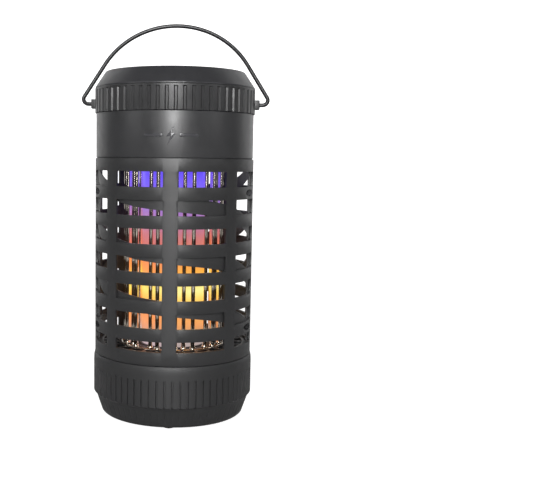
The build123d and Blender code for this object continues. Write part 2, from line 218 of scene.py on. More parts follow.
def rounded_outline(corners):
    """Closed outline from (radius, height) or (radius, height, fillet) corners."""
    outline = []
    for index, corner in enumerate(corners):
        here = Vector(corner[:2])
        fillet = corner[2] if len(corner) > 2 else 0
        if not fillet:
            outline.append(here)
            continue
        back = (Vector(corners[index - 1][:2]) - here).normalized()
        ahead = (Vector(corners[(index + 1) % len(corners)][:2]) - here).normalized()
        half = back.angle(ahead) / 2
        centre = here + (back + ahead).normalized() * (fillet / sin(half))
        reach = cos(half) / sin(half) * fillet
        start = here + back * reach - centre
        end = here + ahead * reach - centre
        for step in range(FILLET_STEPS + 1):
            share = step / FILLET_STEPS
            outline.append(centre + start.slerp(end, share).normalized() * fillet)
    return outline


def turned(name, corners, bearings=None, shape=None):
    """Sweeps the outline round the axis. shape may change a point's radius, as for flutes."""
    bearings = bearings or [n * 2 for n in range(180)]
    outline = rounded_outline(corners)
    count = len(outline)
    points = []
    for bearing in bearings:
        for radius, height in outline:
            radius = shape(radius, bearing, height) if shape else radius
            points.append(at(radius, bearing, height))
    faces = []
    for turn in range(len(bearings)):
        here = turn * count
        there = (turn + 1) % len(bearings) * count
        for k in range(count):
            after = (k + 1) % count
            faces.append((here + k, there + k, there + after, here + after))
    return make_piece(name, points, faces)


# %% [markdown]
# ## Studio first: camera, floor, backdrop and lights
# The camera stands 644 mm from the axis and 193 mm up, looks down 5.8 degrees, and is turned 2.6 degrees to
# the right of the front. The lens matches the perspective of the body. The object stands left of the middle,
# which is a lens shift, as on a view camera, so its upright sides keep their lines.

# %% Camera
CAMERA_DISTANCE = 644.1
CAMERA_HEIGHT = 193.1
CAMERA_BEARING = 2.6
CAMERA_TILT = 5.846
CAMERA_ROLL = 0.624
FOCAL_WIDTHS = 1.5277       # focal length as a share of the sensor's width
AXIS_PLACE = 0.3157         # where the lens axis falls, as a share of the frame's width
SENSOR = 36.0

camera = bpy.data.objects.new("camera", bpy.data.cameras.new("camera"))
bpy.context.scene.collection.objects.link(camera)
camera.data.sensor_width = SENSOR
camera.data.lens = SENSOR * FOCAL_WIDTHS
camera.data.shift_x = 0.5 - AXIS_PLACE
camera.data.clip_start = 0.01
place = Matrix.Translation(Vector((0, -CAMERA_DISTANCE, CAMERA_HEIGHT)) * MM)
aim = Matrix.Rotation(pi / 2 - radians(CAMERA_TILT), 4, "X") @ Matrix.Rotation(radians(CAMERA_ROLL), 4, "Z")
camera.matrix_world = Matrix.Rotation(radians(CAMERA_BEARING), 4, "Z") @ place @ aim
bpy.context.scene.camera = camera
print("lens", round(camera.data.lens, 1), "mm, shift", round(camera.data.shift_x, 3))

# %% [markdown]
# Colours are written as the hex values a paint program shows. Those are sRGB, and a shader wants linear
# light, so one function converts them. Another adds a node with its settings and its links in one call.

# %% Colour and node helpers
def paint(hex_colour):
    """sRGB hex to linear RGBA."""
    linear = []
    for k in (1, 3, 5):
        value = int(hex_colour[k : k + 2], 16) / 255
        linear.append(value / 12.92 if value <= 0.04045 else ((value + 0.055) / 1.055) ** 2.4)
    return (*linear, 1.0)


def add_node(tree, kind, settings=None, links=None):
    """Adds a node, sets its sockets or properties, and links its sockets from others."""
    node = tree.nodes.new(kind)
    for key, value in (settings or {}).items():
        if isinstance(key, int) or key in node.inputs:
            node.inputs[key].default_value = value
        else:
            setattr(node, key, value)
    for key, source in (links or {}).items():
        tree.links.new(source, node.inputs[key])
    return node


def per_mm(size):
    """Scale of a pattern whose features are this many millimetres across, on metre coordinates."""
    return 1 / (size * MM)


def new_material(name, settings):
    """A material with one Principled shader, and the object coordinates that its patterns use."""
    material = bpy.data.materials.new(name)
    material.use_nodes = True
    tree = material.node_tree
    tree.nodes.clear()
    shader = add_node(tree, "ShaderNodeBsdfPrincipled", settings)
    add_node(tree, "ShaderNodeOutputMaterial", {}, {"Surface": shader.outputs["BSDF"]})
    coordinates = add_node(tree, "ShaderNodeTexCoord")
    print("finish:", name)
    return material, tree, shader, coordinates.outputs["Object"]


def vary(tree, shader, pattern, colours=None, gloss=None, relief=None):
    """Lets a pattern change a surface: between two colours, in roughness, or in height.

    gloss is the pattern's low and high value and the roughness at each. relief is strength and depth in mm.
    """
    if colours:
        tone = add_node(tree, "ShaderNodeMix", {"data_type": "RGBA"}, {0: pattern})
        tone.inputs[6].default_value, tone.inputs[7].default_value = (paint(c) for c in colours)
        tree.links.new(tone.outputs[2], shader.inputs["Base Color"])
    if gloss:
        span = dict(zip(("From Min", "From Max", "To Min", "To Max"), gloss))
        level = add_node(tree, "ShaderNodeMapRange", span, {"Value": pattern})
        tree.links.new(level.outputs["Result"], shader.inputs["Roughness"])
    if relief:
        settings = {"Strength": relief[0], "Distance": relief[1] * MM}
        bump = add_node(tree, "ShaderNodeBump", settings, {"Height": pattern})
        tree.links.new(bump.outputs["Normal"], shader.inputs["Normal"])


def wear(thing, material):
    """Puts a material on a piece, or on a CAD node by name."""
    thing = frame["nodes"][thing] if isinstance(thing, str) else thing
    if not thing.material_slots:
        thing.data.materials.append(material)
    for slot in thing.material_slots:
        slot.material = material


# %% [markdown]
# The object is dark and satin, so what it reflects draws its form. A bright wall behind it gives both sides a
# pale edge, a tall softbox over the camera gives the upper half a soft stripe down the middle, and the sides
# of the studio stay dim, which keeps the flanks dark between them. The floor is plain and pale.

# %% Floor and backdrop
def studio_surface(name, hex_colour, glow, glow_in_view):
    """White as the camera sees it, and dimmer for the light that it throws on the object."""
    settings = {"Base Color": paint(hex_colour), "Roughness": 0.9, "Emission Color": paint("#ffffff")}
    material, tree, shader, _ = new_material(name, settings)
    path = add_node(tree, "ShaderNodeLightPath")
    strength = {"To Min": glow, "To Max": glow_in_view}
    level = add_node(tree, "ShaderNodeMapRange", strength, {"Value": path.outputs["Is Camera Ray"]})
    tree.links.new(level.outputs["Result"], shader.inputs["Emission Strength"])
    return material


def studio_floor():
    reach = 2600
    corners = [(-reach, -reach), (reach, -reach), (reach, reach), (-reach, reach)]
    floor = make_piece("studio_floor", [Vector((x, y, 0)) * MM for x, y in corners], [(0, 1, 2, 3)])
    wear(floor, studio_surface("pale_paper", "#a8a8a8", 0.05, 0.9))
    floor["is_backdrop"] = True


def studio_backdrop():
    """A bright wall round the far side of the object."""
    bearings = range(112, 249, 4)
    points = [at(1700, b, h) for b in bearings for h in (-20, 2300)]
    faces = [(k, k + 2, k + 3, k + 1) for k in range(0, len(points) - 2, 2)]
    wall = make_piece("studio_backdrop", points, faces)
    wear(wall, studio_surface("lit_paper", "#d0d0d0", 0.62, 1.1))
    wall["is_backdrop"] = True


def softbox(name, bearing, distance, height, size, aim_height, power):
    """An area light that looks at the axis."""
    light = bpy.data.objects.new(name, bpy.data.lights.new(name, "AREA"))
    bpy.context.scene.collection.objects.link(light)
    light.data.shape = "RECTANGLE"
    light.data.size, light.data.size_y = (side * MM for side in size)
    light.data.energy = power
    light.location = at(distance, bearing, height)
    look = Vector((0, 0, aim_height)) * MM - light.location
    light.rotation_euler = look.to_track_quat("-Z", "Y").to_euler()


studio_floor()
studio_backdrop()
softbox("front_softbox", 0, 1500, 720, (420, 1050), 260, 28.0)
softbox("left_fill", -58, 1500, 700, (500, 900), 150, 2.6)
softbox("right_fill", 62, 1500, 700, (500, 900), 150, 2.0)
world = bpy.data.worlds.new("studio_air")
world.use_nodes = True
world.node_tree.nodes.clear()
air = add_node(world.node_tree, "ShaderNodeLightPath")
dim = add_node(world.node_tree, "ShaderNodeBackground", {"Color": paint("#ffffff"), "Strength": 0.13})
bright = add_node(world.node_tree, "ShaderNodeBackground", {"Color": paint("#ffffff"), "Strength": 1.1})
seen = add_node(
    world.node_tree,
    "ShaderNodeMixShader",
    {},
    {0: air.outputs["Is Camera Ray"], 1: dim.outputs[0], 2: bright.outputs[0]},
)
add_node(world.node_tree, "ShaderNodeOutputWorld", {}, {"Surface": seen.outputs[0]})
bpy.context.scene.world = world
bpy.context.scene.view_settings.view_transform = "Standard"
print("studio lit by", len(bpy.data.lights), "softboxes and a backdrop")

# %% [markdown]
# ## The cage
# The cage is two half shells. Each has seven rows of windows, two windows to each side of a middle post. It
# could be cut from a tube with booleans, but a grid is cleaner: the shell is divided at every window edge,
# the cells that fall in a window are left out, and inner skin and window walls are added. Then the window
# corners get a small radius, and all rims are softened, as on a moulded part.

# %% Cage sizes
CAGE_WALL = 1.8
WINDOW_ROWS = 7
WINDOW_PITCH = 20.1
WINDOW_H = 10.9
LAST_WINDOW_H = 7.5
FIRST_WINDOW_TOP = 185.7
WINDOW_SPANS = [(5.0, 41.2), (51.3, 84.0)]
WINDOW_CORNER = 0.6
STEP_BEARING = 2.0

window_rows = []
for row in range(WINDOW_ROWS):
    high = FIRST_WINDOW_TOP - row * WINDOW_PITCH
    window_rows.append((high - (LAST_WINDOW_H if row == WINDOW_ROWS - 1 else WINDOW_H), high))


def divided(stops, step):
    """Values through all stops, with no gap wider than a step."""
    values = [stops[0]]
    for a, b in zip(stops, stops[1:]):
        parts = max(1, ceil((b - a) / step - 1e-6))
        values += [a + (b - a) * (k + 1) / parts for k in range(parts)]
    return values


def in_window(bearing, height):
    beside = any(a < abs(bearing) < b for a, b in WINDOW_SPANS)
    return beside and any(low < height < high for low, high in window_rows)


# %% Cage skins
def cage_half(name, turn):
    """One half shell. turn is 0 for the front half and 180 for the rear half."""
    edges = sorted({side * b for span in WINDOW_SPANS for b in span for side in (-1, 1)} | {-90, 90})
    bearings = divided(edges, STEP_BEARING)
    heights = sorted({CAGE_BOTTOM, CAGE_TOP} | {h for window in window_rows for h in window})
    columns, levels = len(bearings), len(heights)
    points = []
    for radius in (CAGE_R, CAGE_R - CAGE_WALL):
        points += [at(radius, b + turn, h) for b in bearings for h in heights]
    inner = columns * levels

    def solid(i, j):
        if not (0 <= i < columns - 1 and 0 <= j < levels - 1):
            return False
        return not in_window((bearings[i] + bearings[i + 1]) / 2, (heights[j] + heights[j + 1]) / 2)

    faces = []
    for i in range(columns - 1):
        for j in range(levels - 1):
            if not solid(i, j):
                continue
            a, b = i * levels + j, (i + 1) * levels + j
            faces.append((a, b, b + 1, a + 1))
            faces.append((inner + a, inner + a + 1, inner + b + 1, inner + b))
            walls = [
                ((i - 1, j), a, a + 1),
                ((i + 1, j), b, b + 1),
                ((i, j - 1), a, b),
                ((i, j + 1), a + 1, b + 1),
            ]
            faces += [(p, q, inner + q, inner + p) for cell, p, q in walls if not solid(*cell)]
    return make_piece(name, points, faces)


def round_window_corners(piece):
    """Gives the short edges that run through the wall at window corners a small radius."""
    work = bmesh.new()
    work.from_mesh(piece.data)

    def through_wall(edge):
        depth = abs(hypot(*edge.verts[0].co.xy) - hypot(*edge.verts[1].co.xy)) / MM
        return depth > CAGE_WALL * 0.8 and abs(edge.verts[0].co.z - edge.verts[1].co.z) < 0.1 * MM

    def at_seam(edge):
        return abs(edge.verts[0].co.y) < 0.1 * MM

    corners = [e for e in work.edges if through_wall(e) and not at_seam(e) and e.calc_face_angle(0) > 1]
    bmesh.ops.bevel(work, geom=corners, offset=WINDOW_CORNER * MM, segments=3, affect="EDGES", profile=0.5)
    work.to_mesh(piece.data)
    work.free()
    return len(corners)


# %% [markdown]
# Four screws join the halves. They run front to back through bosses at the sides, and their mouths show as
# dark ovals on the front half. A round bar joined to the shell makes each boss, and thinner bars cut out of
# it make the recess and the hole. Booleans are right here, because two curved surfaces meet.

# %% Screw bosses
SCREW_X = 56.4
SCREW_HEIGHTS = (170.2, 69.7)
SCREW_BOSS_R = 3.1
SCREW_RECESS_R = 2.55
SCREW_HOLE_R = 1.55


def bar_along_y(name, x, z, radius, start, end, sides=40):
    """A round bar that runs front to back."""
    turns = [2 * pi * k / sides for k in range(sides)]
    ring = [(x + radius * cos(turn), z + radius * sin(turn)) for turn in turns]
    return make_piece(name, *swept([[Vector((a, y, b)) * MM for a, b in ring] for y in (start, end)]))


def add_bosses(shell, side):
    """side is -1 for the front half, which has the recesses, and 1 for the rear half."""
    for x in (-SCREW_X, SCREW_X):
        for z in SCREW_HEIGHTS:
            start, end = (-22, 0) if side < 0 else (0, 15)
            boss = bar_along_y("boss", x, z, SCREW_BOSS_R, start, end)
            trim = turned("trim", [(30, z - 9), (CAGE_R - 0.4, z - 9), (CAGE_R - 0.4, z + 9), (30, z + 9)])
            combine(boss, trim, "INTERSECT")
            combine(shell, boss, "UNION")
            if side < 0:
                combine(shell, bar_along_y("recess", x, z, SCREW_RECESS_R, -40, -11), "DIFFERENCE")
            hole = (-12, 1) if side < 0 else (-1, 12)
            combine(shell, bar_along_y("hole", x, z, SCREW_HOLE_R, *hole, sides=24), "DIFFERENCE")


def cage_skin(name, node, turn, side):
    shell = cage_half(name, turn)
    rounded = round_window_corners(shell)
    add_bosses(shell, side)
    soften_edges(shell, 0.25)
    print(name, "has", rounded, "rounded window corners")
    return stands_for(shell, node)


cage_front_skin = cage_skin("cage_front_skin", "cage_front", 0, -1)
cage_rear_skin = cage_skin("cage_rear_skin", "cage_rear", 180, 1)

# %% [markdown]
# ## Flutes
# The ring under the cap and the cup at the bottom are gripped by hand, so both are fluted. A flute is a
# shallow groove: the radius drops by its depth between two bearings and two heights, over a short slope that
# stands for the mould's draft. The outline stays a turned one, and only the radius changes, so the mesh needs
# columns exactly where the slopes begin and end.

# %% Flute helpers
def flute_bearings(count, width, slope, radius, first=0.5):
    """Bearings of the columns round a body with this many grooves, given in millimetres across."""
    half = degrees(width / 2 / radius)
    edge = degrees(slope / radius)
    pitch = 360 / count
    columns = []
    for n in range(count):
        middle = (n + first) * pitch
        rib = (pitch / 2 - half) / 2
        side = (half - edge, half, half + edge * 0.5, half + rib)
        offsets = [*(-offset for offset in side), *side, pitch / 2]
        columns += [middle + offset for offset in offsets]
    return sorted(columns)


def flute_depth(bearing, count, width, slope, radius, first=0.5):
    """Share of the full depth at a bearing, from 0 on a rib to 1 in a groove."""
    pitch = 360 / count
    away = abs((bearing - first * pitch + pitch / 2) % pitch - pitch / 2)
    across = radians(away) * radius
    return min(1, max(0, (width / 2 - across) / slope))


def between(height, low, high, slope):
    """1 between two heights, falling to 0 over a slope outside them."""
    return min(1, max(0, (height - low) / slope + 1), max(0, (high - height) / slope + 1))


# %% [markdown]
# The ring has 60 wide ribs with dark grooves between them, open at the bottom. It overhangs the band below,
# which leaves a dark line of shadow. A bored boss on each side holds the handle's pin.

# %% Grip ring
RING_R = radius_of("knurled_ring")
RING_BOTTOM = bottom_of("knurled_ring")
RING_TOP = top_of("knurled_ring")
RING_FLUTES = 60
RING_GROOVE = 2.9
RING_SLOPE = 0.9
RING_DEPTH = 0.95
PIVOT_Z = (bottom_of("handle_retainers") + top_of("handle_retainers")) / 2
BOSS_OUT = box_mm("knurled_ring")[1][0]
BOSS_HALF = 3.5
WIRE_R = 1.5


def ring_shape(radius, bearing, height):
    if radius < RING_R - 1.2 or height > RING_TOP - 1.5:
        return radius
    deep = flute_depth(bearing, RING_FLUTES, RING_GROOVE, RING_SLOPE, RING_R)
    return radius - RING_DEPTH * deep * between(height, 0, RING_TOP - 2.0, 0.5)


def grip_ring():
    corners = [
        (57.7, RING_BOTTOM, 0.2), (RING_R, RING_BOTTOM, 0.3), (RING_R, RING_TOP - 2.6),
        (RING_R, RING_TOP - 2.0), (RING_R, RING_TOP - 1.45), (RING_R, RING_TOP, 0.45), (57.7, RING_TOP, 0.2),
        (57.7, RING_BOTTOM + 1.8), (54.6, RING_BOTTOM + 1.8, 0.2), (54.6, RING_BOTTOM + 0.02, 0.2),
    ]
    bearings = flute_bearings(RING_FLUTES, RING_GROOVE, RING_SLOPE, RING_R)
    ring = turned("grip_ring_skin", corners, bearings, ring_shape)
    for side in (-1, 1):
        boss = bpy.data.meshes.new("boss")
        work = bmesh.new()
        bmesh.ops.create_cube(work, size=1)
        work.to_mesh(boss)
        work.free()
        size = Vector((BOSS_OUT - 58.6, 2 * BOSS_HALF, 2 * BOSS_HALF)) * MM
        middle = Vector((side * (BOSS_OUT + 58.6) / 2, 0, PIVOT_Z)) * MM
        boss.transform(Matrix.Translation(middle) @ Matrix.Diagonal((*size, 1)))
        block = bpy.data.objects.new("boss", boss)
        bpy.context.scene.collection.objects.link(block)
        soften_edges(block, 0.5, 3)
        combine(ring, block, "UNION")
    bore = bar_along_y("bore", 0, 0, WIRE_R + 0.12, -70, 70)
    bore.data.transform(Matrix.Translation((0, 0, PIVOT_Z * MM)) @ Matrix.Rotation(pi / 2, 4, "Z"))
    combine(ring, bore, "DIFFERENCE")
    return stands_for(ring, "knurled_ring")


grip_ring_skin = grip_ring()

# %% [markdown]
# The cup has narrower grooves, 68 of them, between a plain flared collar and a chamfer. The chamfer carries
# its own short flutes. Inside, three tabs catch behind lugs on the deck's collar, like a lens mount.

# %% Collection cup
CUP_R = radius_of("collection_cup")
CUP_BOTTOM = bottom_of("collection_cup")
CUP_TOP = top_of("collection_cup")
CUP_FLUTES = 68
CUP_GROOVE = 1.5
CUP_DEPTH = 0.85
LOWER_GROOVE = 1.1
CHAMFER_TOP = (59.4, 16.2)
CHAMFER_BOTTOM = (54.6, 2.3)
FLUTE_BAND = (17.8, 36.8)
LOWER_BAND = (5.6, 12.8)


def sector_block(inner, outer, low, high, start, end):
    """Points and faces of a curved block between two bearings."""
    section = ((inner, low), (outer, low), (outer, high), (inner, high))
    return swept([[at(radius, b, z) for radius, z in section] for b in divided([start, end], 2.0)])


def cup_shape(radius, bearing, height):
    on_chamfer = CHAMFER_BOTTOM[1] < height < CHAMFER_TOP[1]
    slant = (height - CHAMFER_BOTTOM[1]) / (CHAMFER_TOP[1] - CHAMFER_BOTTOM[1])
    skin = CHAMFER_BOTTOM[0] + slant * (CHAMFER_TOP[0] - CHAMFER_BOTTOM[0]) if on_chamfer else CUP_R
    if radius < skin - 0.3:
        return radius
    upper = flute_depth(bearing, CUP_FLUTES, CUP_GROOVE, 0.3, CUP_R) * between(height, *FLUTE_BAND, 0.4)
    lower = flute_depth(bearing, CUP_FLUTES, LOWER_GROOVE, 0.3, CUP_R) * between(height, *LOWER_BAND, 0.5)
    return radius - CUP_DEPTH * upper - 0.55 * lower


def collection_cup():
    def chamfer(height):
        share = (height - CHAMFER_BOTTOM[1]) / (CHAMFER_TOP[1] - CHAMFER_BOTTOM[1])
        return (CHAMFER_BOTTOM[0] + share * (CHAMFER_TOP[0] - CHAMFER_BOTTOM[0]), height)

    low, high = FLUTE_BAND
    first, last = LOWER_BAND
    corners = [
        (0.4, CUP_BOTTOM), (CHAMFER_BOTTOM[0] - 0.9, CUP_BOTTOM), CHAMFER_BOTTOM,
        chamfer(first - 0.5), chamfer(first), chamfer(9), chamfer(last), chamfer(last + 0.5),
        (CHAMFER_TOP[0] - 0.2, CHAMFER_TOP[1] - 0.6), (CUP_R - 0.9, 16.9), (CUP_R, low - 0.4), (CUP_R, low),
        (CUP_R, 24), (CUP_R, 30), (CUP_R, high), (CUP_R, high + 0.4),
        (CUP_R, 41.2), (CUP_R - 0.1, 44.2), (CUP_R - 0.5, 46.2), (CUP_R - 1.0, CUP_TOP, 0.3),
        (58.0, CUP_TOP, 0.25), (58.0, 18.6), (57.4, 15.0, 2.0), (52.4, 4.0, 2.5), (0.4, 4.0),
    ]
    bearings = flute_bearings(CUP_FLUTES, CUP_GROOVE, 0.3, CUP_R)
    cup = turned("collection_cup_skin", corners, bearings, cup_shape)
    work = bmesh.new()
    work.from_mesh(cup.data)
    for height in (CUP_BOTTOM, 4.0):
        rim = [e for e in work.edges if e.is_boundary and abs(e.verts[0].co.z - height * MM) < 0.05 * MM]
        bmesh.ops.contextual_create(work, geom=rim)
    work.to_mesh(cup.data)
    work.free()
    return cup


cup_skin = stands_for(collection_cup(), "collection_cup")
tabs = several([sector_block(55.8, 58.2, 41.6, 43.6, n * 120 - 12, n * 120 + 12) for n in range(3)])
cup_tabs = make_piece("cup_tabs", *tabs)
soften_edges(cup_tabs, 0.25)
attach(cup_tabs, "cup")

# %% [markdown]
# ## Cap and head band
# The cap is a turned piece with a sloping side, softly rounded where it meets the top, and a well for the
# solar panel. Below the ring sits the plain band of the head, the smoothest and widest field on the object.

# %% Cap
CAP_TOP = top_of("top_cap")
CAP_BOTTOM = RING_TOP + 0.1


def cap():
    corners = [
        (57.5, CAP_BOTTOM), (60.1, CAP_BOTTOM, 0.2), (59.95, CAP_BOTTOM + 1.0, 0.8), (52.3, CAP_TOP, 1.6),
        (47.3, CAP_TOP, 0.4), (47.3, 256.0), (6.0, 256.0), (6.0, 253.6), (50.0, 253.6, 1.0),
        (55.2, 247.6, 1.0), (55.2, 241.0, 0.3), (57.5, 241.0, 0.3),
    ]
    return stands_for(turned("cap_skin", corners), "top_cap")


cap_skin = cap()

# %% [markdown]
# The front of the band carries a raised sign. A generic one stands here: a lightning bolt between two bars.
# It is drawn flat, cut into narrow strips so that it can bend, wrapped round the band, and given a small
# rounded edge.

# %% Head band
BAND_R = 59.4
BAND_INSIDE = 57.4
BAND_BOTTOM = bottom_of("head_housing")
BAND_TOP = top_of("head_housing")
SIGN_Z = 211.0
SIGN_RAISED = 0.45
BOLT = [(2.6, 7.0), (-3.4, -1.0), (-0.4, -1.0), (-2.6, -7.0), (3.4, 1.4), (0.4, 1.4)]
BAR = [(6.0, -1.1), (19.0, -1.1), (19.0, 1.1), (6.0, 1.1)]
BUTTON_Z = (bottom_of("power_button") + top_of("power_button")) / 2
BUTTON_FACE = box_mm("power_button")[1][1]
BUTTON_CORNER = 10.4
FRAME_CORNER = 12.3
FRAME_FACE = box_mm("head_housing")[1][1]


def wrapped_sign(name, outline):
    """A flat outline, in millimetres across and up, bent onto the band and raised from it."""
    work = bmesh.new()
    work.faces.new([work.verts.new((x, z, 0)) for x, z in outline])
    for cut in range(-19, 20):
        everything = work.verts[:] + work.edges[:] + work.faces[:]
        bmesh.ops.bisect_plane(work, geom=everything, plane_co=(cut, 0, 0), plane_no=(1, 0, 0))
    bmesh.ops.solidify(work, geom=work.faces[:], thickness=1.0)
    for vertex in work.verts:
        across, up, depth = vertex.co
        outside = abs(depth) < 0.01
        radius = BAND_R + (SIGN_RAISED if outside else -0.4)
        vertex.co = at(radius, degrees(across / BAND_R), SIGN_Z + up)
    mesh = bpy.data.meshes.new(name)
    work.to_mesh(mesh)
    work.free()
    finish_mesh(mesh)
    sign = bpy.data.objects.new(name, mesh)
    bpy.context.scene.collection.objects.link(sign)
    soften_edges(sign, 0.16)
    return sign


def hex_bar(name, corner, start, end):
    """A hexagonal bar along +Y with a corner at the top."""
    ring = [(corner * sin(pi * k / 3), corner * cos(pi * k / 3)) for k in range(6)]
    rings = [[Vector((x, y, BUTTON_Z + z)) * MM for x, z in ring] for y in (start, end)]
    return make_piece(name, *swept(rings))


def head_band():
    outer = [(BAND_R, BAND_BOTTOM, 0.35), (BAND_R, BAND_TOP, 0.3)]
    band = turned("head_band_skin", [(BAND_INSIDE, BAND_BOTTOM), *outer, (BAND_INSIDE, BAND_TOP)])
    bezel = hex_bar("bezel", FRAME_CORNER, 57.6, FRAME_FACE)
    soften_edges(bezel, 0.3, 3)
    combine(band, bezel, "UNION")
    combine(band, hex_bar("button_hole", BUTTON_CORNER + 0.3, 50, 70), "DIFFERENCE")
    return stands_for(band, "head_housing")


head_skin = head_band()
sign_pieces = [wrapped_sign("sign_bolt", BOLT)]
sign_pieces.append(wrapped_sign("sign_bar_right", BAR))
sign_pieces.append(wrapped_sign("sign_bar_left", [(-x, z) for x, z in reversed(BAR)]))
for sign_piece in sign_pieces:
    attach(sign_piece, "housing")

# %% [markdown]
# ## Button, handle and feet
# The button is a hexagonal key with a raised ring and a power mark. Its rim is a touch higher than its face.

# %% Power button
MARK_R = 5.0
MARK_WIDTH = 1.2
MARK_GAP = 15


def button_key():
    key = hex_bar("power_button_skin", BUTTON_CORNER, 54.2, BUTTON_FACE - 0.5)
    flange = hex_bar("flange", FRAME_CORNER, 53.0, 54.4)
    soften_edges(key, 0.35, 3)
    combine(key, flange, "UNION")
    return stands_for(key, "power_button")


def raised_mark():
    """The ring, open at the top, and the short bar in its gap."""
    back, face = BUTTON_FACE - 0.9, BUTTON_FACE
    inside = MARK_R - MARK_WIDTH
    section = ((inside, back), (MARK_R, back), (MARK_R, face), (inside, face))
    rings = []
    for turn in divided([MARK_GAP, 360 - MARK_GAP], 6.0):
        across, up = sin(radians(turn)), cos(radians(turn))
        rings.append([Vector((r * across, y, BUTTON_Z + r * up)) * MM for r, y in section])
    bar = [(-0.5, 0.6), (0.5, 0.6), (0.5, 5.4), (-0.5, 5.4)]
    bar_rings = [[Vector((x, y, BUTTON_Z + z)) * MM for x, z in bar] for y in (back, face)]
    mark = make_piece("power_mark", *several([swept(rings), swept(bar_rings)]))
    soften_edges(mark, 0.14)
    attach(mark, "button")
    return mark


button_skin = button_key()
button_mark = raised_mark()

# %% [markdown]
# The handle is one length of steel wire, bent cold and coated black. Its line is exact: two level pins, two
# tight bends, two straight flanks and one round arc that meets the flanks squarely. A round section is swept
# along that line and its ends are slightly domed, so the wire is one closed skin.

# %% Bail handle
BAIL_REACH = 63.0
BAIL_HALF_WIDTH = box_mm("handle")[1][0] - WIRE_R
BAIL_BEND_R = 4.0
BAIL_LEAN = 15.0
PIN_END = 56.0
DOME_LENGTH = 0.3    # the wire's ends are slightly domed
DOME_DEPTH = 0.35
WIRE_SIDES = 20


def bail_line():
    """Points of the upright bail's line, across and up from the pivot, and which way it heads."""
    bend_x = BAIL_HALF_WIDTH - BAIL_BEND_R
    slant = degrees(atan2(BAIL_BEND_R, bend_x))
    slant += degrees(acos((BAIL_REACH - BAIL_BEND_R) / hypot(bend_x, BAIL_BEND_R)))
    line = [((x, 0.0), 0.0) for x in divided([PIN_END, bend_x], 3.0)[:-1]]
    for angle in divided([-90, slant], 9.0):
        reach = Vector((cos(radians(angle)), sin(radians(angle)))) * BAIL_BEND_R
        line.append(((bend_x + reach.x, BAIL_BEND_R + reach.y), angle + 90))
    for angle in divided([slant, 90], 2.0):
        line.append(((BAIL_REACH * cos(radians(angle)), BAIL_REACH * sin(radians(angle))), angle + 90))
    mirrored = [((-x, z), 180 - heading + 180) for (x, z), heading in reversed(line[:-1])]
    return line + mirrored


def bail_skin():
    line = bail_line()
    places = [(Vector(place), heading, WIRE_R) for place, heading in line]
    for index, inward in ((0, 1), (-1, -1)):
        place, heading, radius = places[index]
        along = Vector((cos(radians(heading)), sin(radians(heading)))) * inward
        places[index] = (place + along * DOME_LENGTH, heading, radius)
        places.insert(0 if index == 0 else len(places), (place, heading, radius - DOME_DEPTH))
    turns = [2 * pi * k / WIRE_SIDES for k in range(WIRE_SIDES)]
    lean = Matrix.Rotation(radians(-BAIL_LEAN), 3, "X")
    pivot = Vector((0, 0, PIVOT_Z))
    rings = []
    for place, heading, radius in places:
        across = Vector((-sin(radians(heading)), cos(radians(heading))))
        ring = []
        for turn in turns:
            flat = place + across * radius * cos(turn)
            ring.append((pivot + lean @ Vector((flat.x, radius * sin(turn), flat.y))) * MM)
        rings.append(ring)
    return stands_for(make_piece("bail_skin", *swept(rings)), "handle")


bail_wire = bail_skin()

# %% [markdown]
# Six moulded rubber pads keep the cup off the table. They are small, so each is a short turned disc with a
# rounded foot, and all six are one mesh.

# %% Feet
FOOT_CIRCLE = 47.5
FOOT_R = 4.0
FOOT_H = top_of("feet")


def lathe_at(x, y, outline, sides):
    """Points and faces of a small closed turned solid that stands at a place."""
    turns = [2 * pi * k / sides for k in range(sides)]
    return swept([[Vector((x + r * cos(t), y + r * sin(t), z)) * MM for t in turns] for r, z in outline])


def foot_pads():
    outline = [(FOOT_R - 0.5, 0.0), (FOOT_R - 0.15, 0.12), (FOOT_R, 0.45), (FOOT_R, FOOT_H)]
    places = [at(FOOT_CIRCLE, n * 60, 0) / MM for n in range(6)]
    pads = make_piece("foot_pads", *several([lathe_at(p.x, p.y, outline, 32) for p in places]))
    return stands_for(pads, "feet")


feet_skin = foot_pads()

# %% [markdown]
# ## Rods and light tube
# The grid is a ring of plated steel rods, alternately live and earthed. Each rod has domed ends and a small
# bead of weld at its foot, where it leaves the lower holder. The beads catch the light in the last windows.

# %% Grid rods
ROD_R = 1.6
LIVE_R = 34.6
GROUND_R = 36.6
ROD_GROUPS = 5
RODS_PER_GROUP = 6
ROD_STEP = 10.4
ROD_BOTTOM = bottom_of("live_rods")
ROD_TOP = top_of("live_rods")
BEAD = [(ROD_R, 53.6), (2.0, 54.1), (2.2, 54.9), (2.0, 55.7), (ROD_R, 56.3)]    # radius and height


def rod_set(name, node, first, radius):
    outline = [(1.2, ROD_BOTTOM), (ROD_R, ROD_BOTTOM + 0.4), *BEAD]
    outline += [(ROD_R, ROD_TOP - 0.4), (1.2, ROD_TOP)]
    middle = (RODS_PER_GROUP - 1) / 2
    offsets = [(n - middle) * ROD_STEP for n in range(RODS_PER_GROUP)]
    bearings = [group * 360 / ROD_GROUPS + offset for group in range(ROD_GROUPS) for offset in offsets]
    places = [at(radius, b, 0) / MM for b in bearings[first::2]]
    rods = make_piece(name, *several([lathe_at(p.x, p.y, outline, 20) for p in places]))
    return stands_for(rods, node)


live_rod_skin = rod_set("live_rod_skin", "live_rods", 0, LIVE_R)
ground_rod_skin = rod_set("ground_rod_skin", "ground_rods", 1, GROUND_R)

# %% [markdown]
# The tube is opal polycarbonate, lit from inside by violet lamps above and warm lamps below. From outside one
# sees a smooth fall of colour, so the tube gets a fine round mesh with rounded lips, and its colours come
# with the materials.

